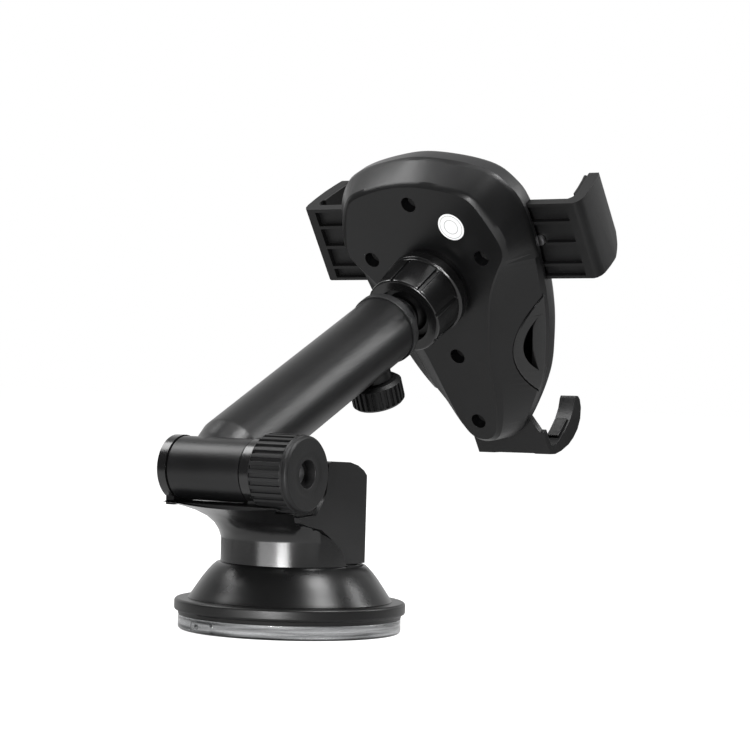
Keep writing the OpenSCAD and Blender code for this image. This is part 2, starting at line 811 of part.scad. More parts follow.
// Locking nut: tapered body with grooves and a front flange
module locking_nut() {
    low = -nut_behind;
    high = ball_to_back - nut_clear;
    lip = socket_slot / 2;
    color([0.1, 0.1, 0.1]) at_ball() difference() {
        rotate_extrude($fn = fine) polygon([
            [nut_mouth_r, low], [nut_rear_r - mid_round, low], [nut_rear_r, low + mid_round],
            [nut_rear_r + slide_gap, low + ball_r], [nut_front_r, high - 3 * nut_groove_r],
            [nut_front_r, high - small_round], [nut_front_r - small_round, high],
            [socket_r + run_fit, high], [socket_r + run_fit, -lip], [nut_mouth_r, -lip]
        ]);
        for (i = [0 : nut_grooves - 1]) rotate([0, 0, (i + 0.5) * 360 / nut_grooves])
            translate([nut_rear_r + mid_round, 0, low - over]) rotate([0, nut_groove_turn, 0])
                cylinder(r = nut_groove_r, h = nut_groove_len, $fn = 24);
    }
}

// Outer form of the back cover with softened edges and a flat band round its flat back
module back_form(grow = 0) {
    loft([
        [0, shrink(back_outline, 0.03 - grow, 0.014 - grow)],
        [small_round, shrink(back_outline, -grow, -grow)],
        [wide_round, shrink(blend(back_outline, rim_outline, 0.19), -grow, -grow)],
        [back_depth - thin_plate, shrink(blend(back_outline, rim_outline, 0.93), -grow, -grow)],
        [back_depth, shrink(rim_outline, -grow, -grow)]
    ]);
}
module back_hollow() {
    loft([
        [cover_wall, shrink(back_outline, 0.09, 0.045)],
        [back_depth + over, shrink(rim_outline, 0.08, 0.05)]
    ]);
}
// Crescent of a release insert seen from the side: X up the cradle, Y forward
module release_shape(grow) {
    intersection() {
        translate([release_y, release_front - release_deep + release_bow])
            circle(r = release_bow + grow, $fn = fine_arc);
        translate([release_y - release_bow, 0]) square([2 * release_bow, release_front + grow]);
    }
}
// Finger slot in the insert, in the same view
module release_slot_shape() {
    intersection() {
        translate([slot_y, slot_front - slot_deep + slot_bow])
            circle(r = slot_bow, $fn = fine_arc);
        translate([slot_y - slot_bow, 0]) square([2 * slot_bow, slot_front]);
    }
}
// A side view pushed out through one side of the covers
module through_side(side) {
    mirror([side > 0 ? 0 : 1, 0, 0]) side_strip(socket_r, cradle_half) children();
}
// Rows of the cover screws: those on the middle line reach through to the front cover
module at_screws(level, middle, sides) {
    for (p = screw_spots) if ((p[0] == 0 && middle) || (p[0] != 0 && sides))
        translate([p[0], p[1], level]) children();
}

module back_cover() {
    boss_r = screw_well_r + screw_boss;
    color([0.09, 0.09, 0.09]) on_cradle() difference() {
        union() {
            difference() {
                back_form();
                back_hollow();
            }
            at_screws(mid_round, false, true)
                cylinder(r = boss_r, h = bracket_back - mid_round);
            at_screws(mid_round, true, false)
                cylinder(r = boss_r, h = back_depth - mid_round - slide_gap);
        }
        for (s = [-1, 1]) through_side(s) release_shape(slide_gap);
        at_screws(-over, true, true) {
            cylinder(r = screw_well_r, h = screw_at_depth + screw_head + over);
            cylinder(r = pilot_r, h = back_depth + 2 * over);
        }
    }
}

// Opening for one clamp arm through the front cover, on the side given by its sign
module arm_slot(side) {
    mirror([side > 0 ? 0 : 1, 0, 0])
        translate([slot_start, -arm_low - slide_gap, plate_back - slide_gap])
            cube([cradle_half, arm_h + 2 * slide_gap, arm_plate + slide_gap]);
}
// Front cover with its low rim, the bosses of the screws and the slots of arms and foot
module front_cover() {
    inside = front_face - cover_wall;
    color([0.12, 0.12, 0.12]) on_cradle() difference() {
        union() {
            difference() {
                loft([
                    [back_depth, rim_outline],
                    [front_face - 2 * wide_round, shrink(rim_outline, 0.012, 0.006)],
                    [front_face - wide_round, shrink(rim_outline, 0.028, 0.016)],
                    [front_face - small_round, shrink(rim_outline, 0.056, 0.032)],
                    [front_face, shrink(rim_outline, 0.09, 0.052)]
                ]);
                loft([
                    [back_depth - over, shrink(rim_outline, 0.08, 0.05)],
                    [inside - wide_round, shrink(rim_outline, 0.085, 0.053)],
                    [inside, shrink(rim_outline, 0.13, 0.082)]
                ]);
                translate([-foot_stem - foot_gap, -foot_low, foot_back - slide_gap]) cube([
                    2 * (foot_stem + foot_gap), foot_top, foot_plate + 2 * slide_gap
                ]);
                for (s = [-1, 1]) arm_slot(s);
            }
            at_screws(back_depth, true, false)
                cylinder(r = screw_well_r + screw_boss, h = front_depth - cover_wall + over);
        }
        at_screws(back_depth - over, true, false)
            cylinder(r = pilot_r - 2 * thin_gap, h = front_depth - cover_wall);
    }
}

// Five cover screws, sunk in their wells
module cover_screws() {
    long = front_face - cover_wall - screw_at_depth - screw_head;
    short = bracket_front - screw_at_depth - mid_round;
    color("dimgray") on_cradle() {
        at_screws(screw_at_depth, true, false) cover_screw(long);
        at_screws(screw_at_depth, false, true) cover_screw(short);
    }
}
module cover_screw(len) {
    difference() {
        union() {
            cylinder(r = screw_well_r - thin_gap, h = screw_head);
            cylinder(r = pilot_r - slide_gap, h = len);
        }
        for (a = [0, 90]) rotate([0, 0, a]) translate([-wide_round, -driver_slot / 2, -over])
            cube([2 * wide_round, driver_slot, small_round + over]);
    }
}

// Plain white disc on the flat back
module plain_disc() {
    color("white") on_cradle() translate([disc_x, disc_y, -disc_h])
        cylinder(r = disc_r, h = disc_h);
}

// Soft pad on which the phone rests
module front_pad() {
    color([0.06, 0.06, 0.06]) on_cradle() loft([
        [front_face, shrink(rim_outline, 0.16, 0.1)],
        [front_face + mid_round, shrink(rim_outline, 0.16, 0.1)],
        [front_face + pad_h_front, shrink(rim_outline, 0.18, 0.11)]
    ]);
}

// Right half of the rail plate, from the top middle down, in shares of its screws' distance
bracket_half_shares = [
    [0, 0.518], [1.113, 0.518], [1.113, -0.241], [0.797, -0.595], [0.266, -0.595],
    [0.266, -1.303], [0, -1.303]
];
// Rail plate inside, screwed to the back cover, with the axle of the pinion
module slide_bracket() {
    plate = set_out(both_halves(bracket_half_shares), [0, screw_spots[1][1]], side_screw_x, side_screw_x);
    color("gray") on_cradle() {
        difference() {
            translate([0, 0, bracket_back]) linear_extrude(thin_plate) polygon(plate);
            at_screws(bracket_back - over, false, true)
                cylinder(r = pilot_r - 2 * thin_gap, h = thin_plate + 2 * over);
        }
        translate([0, pinion_y, bracket_front - over])
            cylinder(r = pilot_r, h = rack_front - bracket_front + over - thin_gap);
    }
}

// Row of rack teeth along X, pointing to +Y from their pitch line
tooth_shares = [[-0.34, -0.42], [0.34, -0.42], [0.12, 0.27], [-0.12, 0.27]];
module rack_teeth(from, to) {
    pitch = PI * rack_module;
    for (i = [ceil(from / pitch) : floor(to / pitch)])
        polygon(set_out(tooth_shares, [i * pitch, 0], pitch, pitch));
}

// Section of a clamp arm's finger from its outer end inward, as shares of the finger's depth:
// first the outer face going forward, then the inner face going back
finger_out_shares = [
    [-0.34, 0], [-0.098, 0], [-0.051, 0.026], [-0.013, 0.085], [0, 0.17], [-0.013, 0.36],
    [-0.047, 0.6], [-0.11, 0.83], [-0.153, 0.95], [-0.204, 0.996], [-0.272, 1],
    [-0.315, 0.962]
];
finger_in_shares = [[-0.272, 0.723], [-0.221, 0.49], [-0.183, 0.255], [-0.191, 0.2]];
module finger_section() {
    corner = [arm_reach, plate_back];
    polygon(concat(
        set_out(finger_out_shares, corner, finger_depth, finger_depth),
        set_out(finger_in_shares, corner, finger_depth, finger_depth),
        [
            [arm_reach - frame_in - small_round, plate_front],
            [arm_reach - 0.34 * finger_depth, plate_front]
        ]
    ));
}

// Pockets between the ribs of the plate: start and height as shares of the arm's height
pocket_shares = [[0.038, 0.126], [0.202, 0.244], [0.487, 0.237], [0.765, 0.19]];

// Clamp arm on the +X side; rack_side is 1 with the rack above the pinion, -1 below
module clamp_arm(rack_side) {
    rack_y = pinion_y + rack_side * pinion_r;
    rack_low = rack_side > 0 ? rack_y + rack_module : rack_y - rack_module - rack_w;
    plate_end = arm_reach - frame_in;
    difference() {
        union() {
            translate([arm_root, -arm_low, plate_back])
                cube([plate_end - arm_root, arm_h, arm_plate]);
            // finger, cut round at its lower front corner
            intersection() {
                translate([0, -arm_low, 0]) rotate([90, 0, 0]) mirror([0, 0, 1])
                    linear_extrude(arm_h) finger_section();
                side_strip(0, arm_reach + over) finger_side();
            }
            // rack tongue on its step
            translate([arm_root, rack_low, rack_back])
                cube([rack_step, rack_w, plate_back - rack_back + over]);
            translate([0, 0, rack_back]) linear_extrude(rack_front - rack_back) {
                translate([-arm_start, rack_low]) square([arm_root + arm_start + rack_step, rack_w]);
                translate([0, rack_y]) mirror([0, rack_side > 0 ? 1 : 0])
                    rack_teeth(rack_module - arm_start, arm_root + rack_step - rack_w);
            }
        }
        // pockets between the ribs of the plate
        for (q = pocket_shares)
            translate([arm_root + thin_plate, arm_h * q[0] - arm_low, plate_back - over])
                cube([plate_end - arm_root - thin_plate, arm_h * q[1], pocket_depth + over]);
        // round opening at the end stop
        translate([rivet_x, pinion_y, plate_back - over]) {
            cylinder(r = rivet_room_r, h = pocket_depth + over);
            cylinder(r = rivet_r + run_fit, h = arm_plate + 2 * over);
        }
    }
}
// Side view of the finger: X up the arm, Y forward
module finger_side() {
    tip = plate_back + finger_depth;
    big = 0.47 * finger_depth;
    low = -arm_low;
    high = arm_h - arm_low;
    union() {
        translate([low, plate_back - over]) square([arm_h, finger_depth - big + over]);
        translate([low + big, plate_back]) square([arm_h - big - thin_plate, finger_depth]);
        translate([low + big, tip - big]) circle(r = big, $fn = fine);
        translate([high - thin_plate, tip - thin_plate]) circle(r = thin_plate);
        translate([high - 2 * thin_plate, plate_back])
            square([2 * thin_plate, finger_depth - thin_plate]);
    }
}

module left_arm() {
    color([0.13, 0.13, 0.13]) on_cradle() clamp_arm(-1);
}
module right_arm() {
    color([0.13, 0.13, 0.13]) on_cradle() mirror([1, 0, 0]) clamp_arm(1);
}

// Soft lining of one finger, laid on its inner face
lining_shares = [
    [-0.315, 0.88], [-0.272, 0.723], [-0.221, 0.49], [-0.19, 0.3], [-0.235, 0.3],
    [-0.266, 0.49], [-0.317, 0.72], [-0.36, 0.87]
];
module finger_pad() {
    intersection() {
        translate([0, -arm_low, 0]) rotate([90, 0, 0]) mirror([0, 0, 1]) linear_extrude(arm_h)
            polygon(set_out(
                lining_shares, [arm_reach - thin_gap, plate_back], finger_depth, finger_depth
            ));
        translate([0, mid_round, -mid_round]) side_strip(0, arm_reach + over) finger_side();
    }
}
module left_finger_pad() {
    color([0.05, 0.05, 0.05]) on_cradle() finger_pad();
}
module right_finger_pad() {
    color([0.05, 0.05, 0.05]) on_cradle() mirror([1, 0, 0]) finger_pad();
}

// One tooth of the pinion, from root to tip and back, in shares of the module
gear_tooth_shares = [[-1.1, -0.9], [0, -0.66], [0.75, -0.33], [0.75, 0.33], [0, 0.66], [-1.1, 0.9]];
// Pinion that keeps the two arms in step
module arm_pinion() {
    face = rack_front - rack_back - 2 * thin_gap;
    tooth = set_out(gear_tooth_shares, [pinion_r, 0], rack_module, rack_module);
    gear = [
        for (i = [0 : pinion_teeth - 1], q = tooth) let (a = i * 360 / pinion_teeth)
            [q[0] * cos(a) - q[1] * sin(a), q[0] * sin(a) + q[1] * cos(a)]
    ];
    color("gray") on_cradle() translate([0, pinion_y, rack_back + thin_gap])
        linear_extrude(face) difference() {
            polygon(gear);
            circle(r = pilot_r + run_fit);
        }
}

// Bright rivet at the end stop of each arm
module arm_rivet() {
    translate([rivet_x, pinion_y, plate_back + small_round]) {
        cylinder(r = rivet_r, h = arm_plate - small_round);
        cylinder(r = rivet_head_r, h = mid_round);
    }
}
module left_rivet() {
    color("silver") on_cradle() arm_rivet();
}
module right_rivet() {
    color("silver") on_cradle() mirror([1, 0, 0]) arm_rivet();
}

// Release insert on the sloping side of the back cover, with its finger slot
module release(side) {
    difference() {
        intersection() {
            back_form(release_proud);
            through_side(side) release_shape(0);
        }
        translate([-side * release_thick, 0, 0]) back_form(release_proud);
        through_side(side) release_slot_shape();
    }
}
module left_release() {
    color([0.05, 0.05, 0.05]) on_cradle() release(1);
}
module right_release() {
    color([0.05, 0.05, 0.05]) on_cradle() release(-1);
}

// Latch slide that holds the racks until a release is pressed; right half from its tip down
latch_half_shares = [[0, -0.06], [0.05, 0], [0.1, -0.12], [0.25, -0.28], [0.25, -0.82], [0, -0.82]];
module release_latch() {
    tip = pinion_y - pinion_r - rack_module - rack_w - small_round;
    color("dimgray") on_cradle() translate([0, 0, rack_back])
        linear_extrude(rack_front - rack_back - mid_round)
            polygon(set_out(both_halves(latch_half_shares), [0, tip], latch_size, latch_size));
}

// Side view of a hook: first its outside going forward, then its inside going back
hook_shares = [
    [0.28, 0], [0.14, 0.11], [0.05, 0.26], [0, 0.46], [0.03, 0.6], [0.125, 0.75],
    [0.31, 0.88], [0.57, 0.97], [0.8, 1], [0.93, 0.985], [1, 0.94], [0.95, 0.9], [0.75, 0.8],
    [0.585, 0.66], [0.46, 0.48], [0.385, 0.32], [0.37, 0.2], [0.42, 0.12]
];
module hook_section() {
    polygon(concat(
        set_out(hook_shares, [-foot_low, foot_back], hook_rise, hook_depth),
        [
            [foot_plate - foot_web_low, foot_front], [hook_rise - foot_low, foot_front],
            [hook_rise - foot_low, foot_back]
        ]
    ));
}

// Sliding foot: a forked plate with two hooks
module foot() {
    flank = [
        [foot_stem, -foot_top], [foot_stem, -foot_low + hook_rise + 3 * foot_plate],
        [foot_half - small_round, slide_gap - foot_low + hook_rise * 0.76],
        [foot_half, -foot_low + hook_rise * 0.64], [foot_half - thin_plate, -foot_web_low]
    ];
    other = [for (i = [len(flank) - 1 : -1 : 0]) [-flank[i][0], flank[i][1]]];
    color([0.1, 0.1, 0.1]) on_cradle() {
        translate([0, 0, foot_back]) linear_extrude(foot_plate) difference() {
            polygon(concat(flank, other));
            translate([-fork_half, -fork_low]) square([2 * fork_half, foot_top]);
        }
        for (s = [-1, 1]) side_strip(s > 0 ? foot_half - hook_w : -foot_half, hook_w)
            hook_section();
    }
}

// Soft strips inside the two hooks
strip_shares = [
    [0.4, 0.34], [0.46, 0.48], [0.585, 0.66], [0.65, 0.635], [0.53, 0.46], [0.465, 0.33]
];
module foot_pads() {
    color([0.05, 0.05, 0.05]) on_cradle() for (s = [-1, 1])
        side_strip((s > 0 ? foot_half - hook_w : -foot_half) + hook_pad_in, hook_w - 2 * hook_pad_in)
            polygon(set_out(strip_shares, [-foot_low, foot_back], hook_rise, hook_depth));
}

gel_pad();
suction_skirt();
base_dome();
dome_screws();
neck_housing();
suction_stem();
lever_pin();
lock_lever();
pivot_bolt();
bolt_nut();
pivot_knob();
barrel_washers();
outer_tube();
end_collar();
rod_bush();
clamp_nut();
lock_thumbscrew();
brake_shoe();
inner_rod();
rod_guide();
ball_stem();
ball_liner();
seat_ring();
socket_cup();
locking_nut();
back_cover();
front_cover();
cover_screws();
plain_disc();
front_pad();
slide_bracket();
left_arm();
right_arm();
left_finger_pad();
right_finger_pad();
arm_pinion();
left_rivet();
right_rivet();
left_release();
right_release();
release_latch();
foot();
foot_pads();
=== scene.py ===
import json
from math import atan2, cos, pi, radians, sin

import bpy
import bmesh
from mathutils import Matrix, Vector


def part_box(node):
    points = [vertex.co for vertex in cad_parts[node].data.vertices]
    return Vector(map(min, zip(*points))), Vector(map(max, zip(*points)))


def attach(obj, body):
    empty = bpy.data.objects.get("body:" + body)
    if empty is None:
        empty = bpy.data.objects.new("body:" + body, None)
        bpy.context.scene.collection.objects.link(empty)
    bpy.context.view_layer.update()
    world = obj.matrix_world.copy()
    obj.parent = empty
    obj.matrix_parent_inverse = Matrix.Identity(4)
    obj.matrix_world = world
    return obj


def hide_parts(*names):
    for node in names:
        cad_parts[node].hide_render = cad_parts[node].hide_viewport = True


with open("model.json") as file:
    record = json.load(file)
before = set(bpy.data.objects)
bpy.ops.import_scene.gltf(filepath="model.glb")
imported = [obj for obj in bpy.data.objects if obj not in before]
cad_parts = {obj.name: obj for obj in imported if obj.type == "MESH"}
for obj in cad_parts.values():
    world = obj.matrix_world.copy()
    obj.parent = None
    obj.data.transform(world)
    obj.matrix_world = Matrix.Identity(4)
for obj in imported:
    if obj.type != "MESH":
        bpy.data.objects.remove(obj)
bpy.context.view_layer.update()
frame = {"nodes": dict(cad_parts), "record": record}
scene = bpy.context.scene
scene.view_settings.view_transform = "Standard"
MM = 0.001

# Places that the solids share, in mm and degrees
pivot_x, pivot_z = -28.2, 50.5
arm_y, arm_angle = 11.6, 24.8
screw_at, tube_end, ball_at = 95, 106, 126.2
ball_r, neck_of_ball = 8.4, 108
cradle_tilt, cradle_yaw, cradle_roll = 31.5, -2.2, -2.4
knob_face_y = -9.8

# Camera, in mm, degrees and pixels
camera_turn, camera_rise, camera_roll = radians(-57.4), radians(0.6), radians(1.6)
camera_away = 940
looked_at = Vector((45.8, 0, 80.1)) * MM
focal_pixels, picture_pixels, sensor = 2880, 750, 36

toward = Vector((
    sin(camera_turn) * cos(camera_rise),
    -cos(camera_turn) * cos(camera_rise),
    sin(camera_rise),
))
across = Vector((cos(camera_turn), sin(camera_turn), 0))
upward = toward.cross(across)
right = across * cos(camera_roll) + upward * sin(camera_roll)
above = upward * cos(camera_roll) - across * sin(camera_roll)
eye = looked_at + toward * camera_away * MM
camera_data = bpy.data.cameras.new("studio camera")
camera_data.sensor_width = sensor
camera_data.lens = focal_pixels / picture_pixels * sensor
camera_data.clip_end = 20
camera = bpy.data.objects.new("studio camera", camera_data)
scene.collection.objects.link(camera)
camera.matrix_world = Matrix((
    (right.x, above.x, toward.x, eye.x),
    (right.y, above.y, toward.y, eye.y),
    (right.z, above.z, toward.z, eye.z),
    (0, 0, 0, 1),
))
scene.camera = camera


# Small helpers for shader trees
def shader_of(material):
    """The main shader of a material."""
    return material.node_tree.nodes["Principled BSDF"]


def worked(tree, operation, *terms):
    """The result of a math node on the terms, each a socket or a number."""
    step = tree.nodes.new("ShaderNodeMath")
    step.operation = operation
    for socket, term in zip(step.inputs, terms):
        if isinstance(term, (int, float)):
            socket.default_value = term
        else:
            tree.links.new(term, socket)
    return step.outputs[0]


def greatest(tree, *signals):
    """The greatest of some signals."""
    joined = signals[0]
    for signal in signals[1:]:
        joined = worked(tree, "MAXIMUM", joined, signal)
    return joined


def mapped(tree, value, low, high, to_low, to_high, way="LINEAR"):
    """The value, with the range from low to high spread over another range."""
    step = tree.nodes.new("ShaderNodeMapRange")
    step.interpolation_type = way
    for name, number in (("From Min", low), ("From Max", high), ("To Min", to_low), ("To Max", to_high)):
        step.inputs[name].default_value = number
    tree.links.new(value, step.inputs["Value"])
    return step.outputs["Result"]


def object_place(tree):
    """The place on a piece, in Object coordinates."""
    return tree.nodes.new("ShaderNodeTexCoord").outputs["Object"]


def noise(tree, place, scale, detail):
    """Noise over the piece."""
    grain = tree.nodes.new("ShaderNodeTexNoise")
    grain.inputs["Scale"].default_value = scale
    grain.inputs["Detail"].default_value = detail
    tree.links.new(place, grain.inputs["Vector"])
    return grain.outputs["Fac"]


def two_tones(tree, signal, low, low_colour, high, high_colour):
    """A colour that runs from one tone to another between two values of the signal."""
    tone = tree.nodes.new("ShaderNodeValToRGB")
    for element, at, colour in zip(tone.color_ramp.elements, (low, high), (low_colour, high_colour)):
        element.position = at
        element.color = [*colour, 1]
    tree.links.new(signal, tone.inputs["Fac"])
    return tone.outputs["Color"]


# World, lamps and floor
def studio_world():
    """White for the camera, through the gel and behind the object in reflections, dim in front."""
    behind, in_front = -0.92, -0.2
    white, dim, soft = 1, 0.08, 0.5
    world = bpy.data.worlds.new("studio")
    world.use_nodes = True
    tree = world.node_tree
    tree.nodes.clear()
    world_out = tree.nodes.new("ShaderNodeOutputWorld")
    daylight = tree.nodes.new("ShaderNodeBackground")
    daylight.inputs["Color"].default_value = (1, 1, 1, 1)
    rays = tree.nodes.new("ShaderNodeLightPath").outputs
    facing = tree.nodes.new("ShaderNodeVectorMath")
    facing.operation = "DOT_PRODUCT"
    facing.inputs[1].default_value = toward
    tree.links.new(tree.nodes.new("ShaderNodeTexCoord").outputs["Generated"], facing.inputs[0])
    backdrop = mapped(tree, facing.outputs["Value"], behind, in_front, white, dim)
    mirrored = worked(tree, "MULTIPLY", rays["Is Glossy Ray"], backdrop)
    diffused = worked(tree, "MULTIPLY", rays["Is Diffuse Ray"], soft)
    strength = greatest(tree, rays["Is Camera Ray"], rays["Is Transmission Ray"], mirrored, diffused)
    tree.links.new(strength, daylight.inputs["Strength"])
    tree.links.new(daylight.outputs[0], world_out.inputs["Surface"])
    return world


def lamp(name, place, aim, size, power):
    """A softbox at a place, aimed at another, with its width and height in metres, and watts."""
    data = bpy.data.lights.new(name, "AREA")
    data.shape = "RECTANGLE"
    data.size, data.size_y = size
    data.energy = power
    item = bpy.data.objects.new(name, data)
    scene.collection.objects.link(item)
    item.location = place
    item.rotation_euler = (Vector(aim) - Vector(place)).to_track_quat("-Z", "Y").to_euler()
    return item


def round_the_camera(aside, up, far):
    """A place at so many degrees aside and up from the camera's own direction."""
    way = toward * cos(radians(aside)) + right * sin(radians(aside))
    way = way * cos(radians(up)) + above * sin(radians(up))
    return looked_at + way * far


def before_the_base(aside, height, far):
    """A place low down before the suction base, at so many degrees from the camera's side."""
    level = Vector((toward.x, toward.y, 0)).normalized()
    return Matrix.Rotation(radians(aside), 3, "Z") @ level * far + Vector((0, 0, height))


def round_lamps():
    """The large softboxes: degrees aside and up, distance, size and watts."""
    for name, aside, up, far, size, power in (
            ("key softbox", -19, -1, 0.95, (0.2, 0.32), 10),
            ("upper right softbox", 54, 56, 0.9, (0.28, 0.28), 8),
            ("left softbox", -103, 50, 0.9, (0.4, 0.4), 4.6),
            ("right softbox", 101, 28, 0.9, (0.14, 0.4), 3)):
        lamp(name, round_the_camera(aside, up, far), looked_at, size, power)
    lamp("top softbox", looked_at + Vector((-0.1, 0, 1)), looked_at, (0.5, 0.5), 2)


def low_strips():
    """Two low strips, which the round neck mirrors and the camera doesn't see."""
    height, tall, far = 13.5 * MM, 0.025, 0.22
    for name, aside, wide, power in (("low strip", -11, 0.065, 0.2), ("low side strip", -37, 0.11, 0.08)):
        place = before_the_base(aside, height, far)
        strip = lamp(name, place, (0, 0, height), (wide, tall), power)
        strip.visible_camera = False


def white_floor():
    """White for the camera, and in reflections darker the farther it is from the base."""
    tone, glow, mirrored_glow = 0.4, 0.8, 0.2
    near, far, far_loss = 0.22, 0.42, 0.85
    material = bpy.data.materials.new("white floor")
    material.use_nodes = True
    tree, shader = material.node_tree, shader_of(material)
    shader.inputs["Roughness"].default_value = 0.9
    shader.inputs["Specular IOR Level"].default_value = 0
    shader.inputs["Emission Color"].default_value = (1, 1, 1, 1)
    rays = tree.nodes.new("ShaderNodeLightPath").outputs
    away = tree.nodes.new("ShaderNodeVectorMath")
    away.operation = "LENGTH"
    tree.links.new(object_place(tree), away.inputs[0])
    loss = mapped(tree, away.outputs["Value"], near, far, 0, far_loss, "SMOOTHSTEP")
    kept = worked(tree, "SUBTRACT", 1, worked(tree, "MULTIPLY", loss, rays["Is Glossy Ray"]))
    tree.links.new(worked(tree, "MULTIPLY", kept, tone), shader.inputs["Base Color"])
    mirrored = worked(tree, "MULTIPLY", rays["Is Glossy Ray"], kept)
    dimmed = worked(tree, "MULTIPLY", mirrored, mirrored_glow)
    shown = greatest(tree, rays["Is Camera Ray"], rays["Is Transmission Ray"], dimmed)
    tree.links.new(worked(tree, "MULTIPLY", shown, glow), shader.inputs["Emission Strength"])
    return material


scene.world = studio_world()
round_lamps()
low_strips()
bpy.ops.mesh.primitive_plane_add(size=6, location=(0, 0, 0))
floor = bpy.context.object
floor.name = "floor"
floor.data.materials.append(white_floor())


# Finishes
def moulded(name, colour, rough, grain=2600, bump=0.3, depth=0.0001, mottle=0.2, specular=0.3):
    """Moulded plastic: fine grain in the surface, and a slight change of tone and gloss over it."""
    broad_scale, gloss_change = 60, 0.04
    material = bpy.data.materials.new(name)
    material.use_nodes = True
    tree, shader = material.node_tree, shader_of(material)
    place = object_place(tree)
    fine = noise(tree, place, grain, 3)
    broad = noise(tree, place, broad_scale, 4)
    darker = [part * (1 - mottle) for part in colour]
    lighter = [part * (1 + mottle) for part in colour]
    tree.links.new(two_tones(tree, broad, 0.3, darker, 0.7, lighter), shader.inputs["Base Color"])
    gloss = mapped(tree, broad, 0, 1, rough - gloss_change, rough + gloss_change)
    tree.links.new(gloss, shader.inputs["Roughness"])
    relief = tree.nodes.new("ShaderNodeBump")
    relief.inputs["Strength"].default_value = bump
    relief.inputs["Distance"].default_value = depth
    tree.links.new(fine, relief.inputs["Height"])
    tree.links.new(relief.outputs["Normal"], shader.inputs["Normal"])
    shader.inputs["Specular IOR Level"].default_value = specular
    return material


def plated_steel():
    """Bright metal of the bolt, the pin and the screws inside."""
    material = moulded("plated steel", (0.6, 0.6, 0.61), 0.32)
    shader_of(material).inputs["Metallic"].default_value = 1
    return material


def paper_disc():
    """White paper disc with two thin grey rings about its middle."""
    material = moulded("white paper disc", (0.8, 0.8, 0.8), 0.6, mottle=0.02)
    tree, shader = material.node_tree, shader_of(material)
    paper, ring, disc_r = 0.78, 0.3, 5 * MM
    low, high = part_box("plain_disc")
    away = tree.nodes.new("ShaderNodeVectorMath")
    away.operation = "DISTANCE"
    away.inputs[1].default_value = [(one + other) / 2 for one, other in zip(low, high)]
    tree.links.new(object_place(tree), away.inputs[0])
    rings = tree.nodes.new("ShaderNodeValToRGB")
    rings.color_ramp.interpolation = "CONSTANT"
    for end in rings.color_ramp.elements:
        end.color = (paper, paper, paper, 1)
    for at, tone in ((0.5, ring), (0.545, paper), (0.83, ring), (0.87, paper)):
        rings.color_ramp.elements.new(at).color = (tone, tone, tone, 1)
    tree.links.new(mapped(tree, away.outputs["Value"], 0, disc_r, 0, 1), rings.inputs["Fac"])
    tree.links.new(rings.outputs["Color"], shader.inputs["Base Color"])
    return material


def clear_gel():
    """Clear gel, a little smoky, with faint streaks that run round its edge."""
    material = moulded("clear gel", (0.2, 0.2, 0.21), 0.06, grain=200, bump=0.2, depth=0.0004)
    tree, shader = material.node_tree, shader_of(material)
    flattened = tree.nodes.new("ShaderNodeMapping")
    flattened.inputs["Scale"].default_value = (30, 30, 700)
    tree.links.new(object_place(tree), flattened.inputs["Vector"])
    streaks = noise(tree, flattened.outputs["Vector"], 1, 2)
    tone = two_tones(tree, streaks, 0.35, (0.02, 0.021, 0.022), 0.66, (0.5, 0.51, 0.52))
    tree.links.new(tone, shader.inputs["Base Color"])
    shader.inputs["Transmission Weight"].default_value = 0.85
    shader.inputs["IOR"].default_value = 1.42
    return material


satin_black = moulded("satin black plastic", (0.003, 0.003, 0.0032), 0.36, specular=0.32)
matt_black = moulded("matt black plastic", (0.005, 0.005, 0.0052), 0.48,
                     grain=1900, bump=0.45, specular=0.25)
gloss_black = moulded("gloss black plastic", (0.004, 0.004, 0.0041), 0.2, bump=0.12, specular=0.5)
half_gloss = moulded("half gloss black plastic", (0.004, 0.004, 0.0041), 0.28, bump=0.15, specular=0.22)
dark_grey = moulded("dark grey plastic", (0.009, 0.009, 0.0095), 0.4, specular=0.45)
soft_black = moulded("soft black rubber", (0.003, 0.003, 0.003), 0.38, grain=1500, specular=0.3)
natural = moulded("natural plastic", (0.5, 0.5, 0.48), 0.5)
# Painted shade: the cover screws get a near-black colour and little gloss so that they stand in for the
# shade deep in their holes
shade_painted_steel = moulded("steel darkened as painted hole shade", (0.012, 0.012, 0.012), 0.5, specular=0.1)
finish = {
    "clear_gel": clear_gel(), "soft_black": soft_black, "black_plastic": satin_black,
    "glossy_black": gloss_black, "dark_grey_plastic": dark_grey, "natural_plastic": natural,
    "steel": plated_steel(), "white_label": paper_disc(),
}
slot_of = {part["node"]: part["material_slot"] for part in frame["record"]["subparts"]}
finish_of = {node: finish[slot] for node, slot in slot_of.items()}
for material, nodes in (
        (matt_black, ("pivot_knob", "lock_thumbscrew", "left_arm", "right_arm")),
        (half_gloss, ("base_dome",)),
        (shade_painted_steel, ("cover_screws",)),
        (soft_black, ("seat_ring", "ball_liner", "slide_bracket"))):
    for node in nodes:
        finish_of[node] = material
body_of = {
    member: body for body, members in frame["record"]["behaviour"]["bodies"].items() for member in members
}
for name, item in frame["nodes"].items():
    item.data.materials.clear()
    item.data.materials.append(finish_of[name])


# Places of the round pieces
def along_y(from_y):
    """A place on the pivot's axis, looking towards the knob."""
    start = Vector((pivot_x, from_y, pivot_z)) * MM
    return Matrix.Translation(start) @ Matrix.Rotation(pi / 2, 4, "X")


def along_arm(at):
    """A place on the arm's axis, so many mm from the pivot, looking outwards."""
    rise = radians(arm_angle)
    start = Vector((pivot_x + at * cos(rise), arm_y, pivot_z + at * sin(rise))) * MM
    return Matrix.Translation(start) @ Matrix.Rotation(pi / 2 - rise, 4, "Y")


def at_ball():
    """The ball's middle, looking into the cradle."""
    return (along_arm(ball_at) @ Matrix.Rotation(radians(arm_angle - cradle_tilt), 4, "Y")
            @ Matrix.Rotation(pi / 2, 4, "Z") @ Matrix.Rotation(radians(cradle_yaw), 4, "Y")
            @ Matrix.Rotation(radians(cradle_roll), 4, "Z"))


